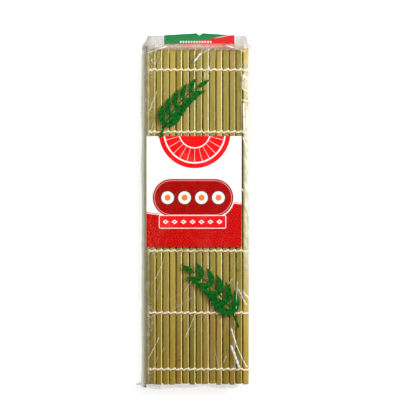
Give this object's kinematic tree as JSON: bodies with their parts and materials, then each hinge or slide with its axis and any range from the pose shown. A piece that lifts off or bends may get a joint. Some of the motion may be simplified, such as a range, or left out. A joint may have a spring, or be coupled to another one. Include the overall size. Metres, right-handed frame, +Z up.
{
  "type": "bamboo sushi rolling mat",
  "caption": "Bamboo sushi rolling mat of flat green-skinned slats tied with twisted twine, folded in three and packed in a clear film bag with a printed label card and header card.",
  "frame": {"origin": "middle of the face that the packed mat lies on", "axes": "+X across the slats, towards the fold that joins the front and middle thirds; +Y along the slats, towards the header card; +Z up, from the back third to the front third"},
  "size_m": [0.0876, 0.2854, 0.0193],
  "materials": {
    "bamboo": "smooth bamboo with the green skin left on the faces that show",
    "bamboo_fold": "smooth bamboo, skin side out",
    "twine": "twisted cream cotton twine",
    "label_print": "printed card, red and white",
    "header_print": "printed card, green and red",
    "clear_film": "thin clear packing film"
  },
  "bodies": {
    "back_panel": {"back_slat_01": "bamboo", "back_slat_02": "bamboo", "back_slat_03": "bamboo", "back_slat_04": "bamboo", "back_slat_05": "bamboo", "back_slat_06": "bamboo", "back_slat_07": "bamboo", "back_slat_08": "bamboo", "back_slat_09": "bamboo", "back_slat_10": "bamboo", "back_slat_11": "bamboo", "back_slat_12": "bamboo", "back_slat_13": "bamboo", "back_slat_14": "bamboo", "twine_row_1": "twine", "twine_row_2": "twine", "twine_row_3": "twine", "twine_row_4": "twine", "twine_row_5": "twine", "twine_row_6": "twine"},
    "left_fold_steep": {"left_fold_slat_steep": "bamboo_fold"},
    "left_fold_tilted": {"left_fold_slat_tilted": "bamboo_fold"},
    "middle_panel": {"middle_slat_01": "bamboo", "middle_slat_02": "bamboo", "middle_slat_03": "bamboo", "middle_slat_04": "bamboo", "middle_slat_05": "bamboo", "middle_slat_06": "bamboo", "middle_slat_07": "bamboo", "middle_slat_08": "bamboo", "middle_slat_09": "bamboo", "middle_slat_10": "bamboo", "middle_slat_11": "bamboo", "middle_slat_12": "bamboo", "middle_slat_13": "bamboo", "middle_slat_14": "bamboo"},
    "right_fold_steep": {"right_fold_slat_steep": "bamboo_fold"},
    "right_fold_tilted": {"right_fold_slat_tilted": "bamboo_fold"},
    "front_row_14": {"front_slat_14": "bamboo", "label_card": "label_print"},
    "front_row_13": {"front_slat_13": "bamboo"},
    "front_row_12": {"front_slat_12": "bamboo"},
    "front_row_11": {"front_slat_11": "bamboo"},
    "front_row_10": {"front_slat_10": "bamboo"},
    "front_row_09": {"front_slat_09": "bamboo"},
    "front_row_08": {"front_slat_08": "bamboo"},
    "front_row_07": {"front_slat_07": "bamboo"},
    "front_row_06": {"front_slat_06": "bamboo"},
    "front_row_05": {"front_slat_05": "bamboo"},
    "front_row_04": {"front_slat_04": "bamboo"},
    "front_row_03": {"front_slat_03": "bamboo"},
    "front_row_02": {"front_slat_02": "bamboo"},
    "front_row_01": {"front_slat_01": "bamboo"},
    "bag": {"bag_front_film": "clear_film", "bag_back_film": "clear_film"},
    "header": {"header_card": "header_print"}
  },
  "joints": [
    {"name": "unfold", "type": "hinge", "parent": "left_fold_steep", "child": "left_fold_tilted", "pos_m": [-0.04005, 0, 0.00738], "axis": [0, -1, 0], "range_deg": [0, 90], "deforming": ["twine_row_1", "twine_row_2", "twine_row_3", "twine_row_4", "twine_row_5", "twine_row_6", "bag_front_film"]},
    {"name": "left_fold_lower_turn", "type": "hinge", "parent": "back_panel", "child": "left_fold_steep", "pos_m": [-0.03779, 0, 0.00253], "axis": [0, -1, 0], "range_deg": [0, 65]},
    {"name": "left_fold_upper_turn", "type": "hinge", "parent": "left_fold_tilted", "child": "middle_panel", "pos_m": [-0.03521, 0, 0.00964], "axis": [0, -1, 0], "range_deg": [0, 25]},
    {"name": "right_fold_lower_turn", "type": "hinge", "parent": "middle_panel", "child": "right_fold_steep", "pos_m": [0.03969, 0, 0.00964], "axis": [0, 1, 0], "range_deg": [0, 65]},
    {"name": "right_fold_middle_turn", "type": "hinge", "parent": "right_fold_steep", "child": "right_fold_tilted", "pos_m": [0.04195, 0, 0.01449], "axis": [0, 1, 0], "range_deg": [0, 90]},
    {"name": "right_fold_upper_turn", "type": "hinge", "parent": "right_fold_tilted", "child": "front_row_14", "pos_m": [0.03711, 0, 0.01675], "axis": [0, 1, 0], "range_deg": [0, 25]},
    {"name": "curl", "type": "hinge", "parent": "front_row_14", "child": "front_row_13", "pos_m": [0.03176, 0, 0.01675], "axis": [0, 1, 0], "range_deg": [0, 20], "deforming": ["label_card", "twine_row_1", "twine_row_2", "twine_row_3", "twine_row_4", "twine_row_5", "twine_row_6", "bag_front_film"]},
    {"name": "curl_follow_12", "type": "hinge", "parent": "front_row_13", "child": "front_row_12", "pos_m": [0.02641, 0, 0.01675], "axis": [0, 1, 0], "range_deg": [0, 20]},
    {"name": "curl_follow_11", "type": "hinge", "parent": "front_row_12", "child": "front_row_11", "pos_m": [0.02106, 0, 0.01675], "axis": [0, 1, 0], "range_deg": [0, 20]},
    {"name": "curl_follow_10", "type": "hinge", "parent": "front_row_11", "child": "front_row_10", "pos_m": [0.01571, 0, 0.01675], "axis": [0, 1, 0], "range_deg": [0, 20]},
    {"name": "curl_follow_09", "type": "hinge", "parent": "front_row_10", "child": "front_row_09", "pos_m": [0.01036, 0, 0.01675], "axis": [0, 1, 0], "range_deg": [0, 20]},
    {"name": "curl_follow_08", "type": "hinge", "parent": "front_row_09", "child": "front_row_08", "pos_m": [0.00501, 0, 0.01675], "axis": [0, 1, 0], "range_deg": [0, 20]},
    {"name": "curl_follow_07", "type": "hinge", "parent": "front_row_08", "child": "front_row_07", "pos_m": [-0.00034, 0, 0.01675], "axis": [0, 1, 0], "range_deg": [0, 20]},
    {"name": "curl_follow_06", "type": "hinge", "parent": "front_row_07", "child": "front_row_06", "pos_m": [-0.00569, 0, 0.01675], "axis": [0, 1, 0], "range_deg": [0, 20]},
    {"name": "curl_follow_05", "type": "hinge", "parent": "front_row_06", "child": "front_row_05", "pos_m": [-0.01104, 0, 0.01675], "axis": [0, 1, 0], "range_deg": [0, 20]},
    {"name": "curl_follow_04", "type": "hinge", "parent": "front_row_05", "child": "front_row_04", "pos_m": [-0.01639, 0, 0.01675], "axis": [0, 1, 0], "range_deg": [0, 20]},
    {"name": "curl_follow_03", "type": "hinge", "parent": "front_row_04", "child": "front_row_03", "pos_m": [-0.02174, 0, 0.01675], "axis": [0, 1, 0], "range_deg": [0, 20]},
    {"name": "curl_follow_02", "type": "hinge", "parent": "front_row_03", "child": "front_row_02", "pos_m": [-0.02709, 0, 0.01675], "axis": [0, 1, 0], "range_deg": [0, 20]},
    {"name": "curl_follow_01", "type": "hinge", "parent": "front_row_02", "child": "front_row_01", "pos_m": [-0.03244, 0, 0.01675], "axis": [0, 1, 0], "range_deg": [0, 20]},
    {"name": "bag_slide", "type": "slide", "parent": "back_panel", "child": "bag", "axis": [0, -1, 0], "range_m": [0, 0.3]},
    {"name": "header_card_slide", "type": "slide", "parent": "back_panel", "child": "header", "axis": [0, 1, 0], "range_m": [0, 0.12]}
  ],
  "couplings": [
    {"joint": "left_fold_lower_turn", "follows": "unfold", "ratio": 0.72222},
    {"joint": "left_fold_upper_turn", "follows": "unfold", "ratio": 0.27778},
    {"joint": "right_fold_lower_turn", "follows": "unfold", "ratio": 0.72222},
    {"joint": "right_fold_middle_turn", "follows": "unfold", "ratio": 1},
    {"joint": "right_fold_upper_turn", "follows": "unfold", "ratio": 0.27778},
    {"joint": "curl_follow_12", "follows": "curl", "ratio": 1},
    {"joint": "curl_follow_11", "follows": "curl", "ratio": 1},
    {"joint": "curl_follow_10", "follows": "curl", "ratio": 1},
    {"joint": "curl_follow_09", "follows": "curl", "ratio": 1},
    {"joint": "curl_follow_08", "follows": "curl", "ratio": 1},
    {"joint": "curl_follow_07", "follows": "curl", "ratio": 1},
    {"joint": "curl_follow_06", "follows": "curl", "ratio": 1},
    {"joint": "curl_follow_05", "follows": "curl", "ratio": 1},
    {"joint": "curl_follow_04", "follows": "curl", "ratio": 1},
    {"joint": "curl_follow_03", "follows": "curl", "ratio": 1},
    {"joint": "curl_follow_02", "follows": "curl", "ratio": 1},
    {"joint": "curl_follow_01", "follows": "curl", "ratio": 1}
  ]
}
